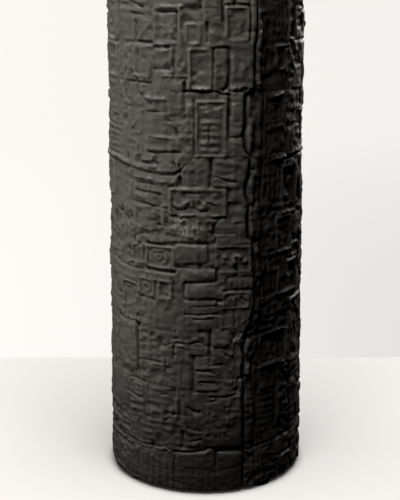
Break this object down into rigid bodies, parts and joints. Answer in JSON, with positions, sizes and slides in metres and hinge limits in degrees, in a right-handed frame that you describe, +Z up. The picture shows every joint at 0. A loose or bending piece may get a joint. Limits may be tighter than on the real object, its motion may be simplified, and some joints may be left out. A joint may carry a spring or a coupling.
{
  "type": "vase",
  "caption": "Tall tapering cylindrical vase in black fired clay, slab built with an impressed patchwork surface, open at the top, standing on round rubber pads.",
  "frame": {"origin": "on the floor plane under the middle of the vase, at the underside of its pads", "axes": "+Z up along the vase's axis, -Y the side with the upright seam, to the right of the middle as it is looked at"},
  "size_m": [0.1794, 0.1794, 0.56],
  "materials": {
    "black_clay": "smoke-fired black clay, satin graphite sheen, impressed and pitted, raised edges burnished",
    "inside_clay": "smoke-fired black clay left matte, wiped smooth with a wet sponge",
    "pad_rubber": "black self-adhesive rubber"
  },
  "bodies": {
    "root": {"base_slab": "black_clay", "foot_band": "black_clay", "lower_wall_slab": "black_clay", "upper_wall_slab": "black_clay", "lower_seam_coil": "black_clay", "upper_seam_coil": "black_clay", "rim_coil": "black_clay", "foot_coil": "inside_clay", "band_joint_coil": "inside_clay", "slab_joint_coil": "inside_clay", "lower_inner_seam_coil": "inside_clay", "upper_inner_seam_coil": "inside_clay", "foot_pad_1": "pad_rubber", "foot_pad_2": "pad_rubber", "foot_pad_3": "pad_rubber", "foot_pad_4": "pad_rubber"}
  },
  "joints": []
}
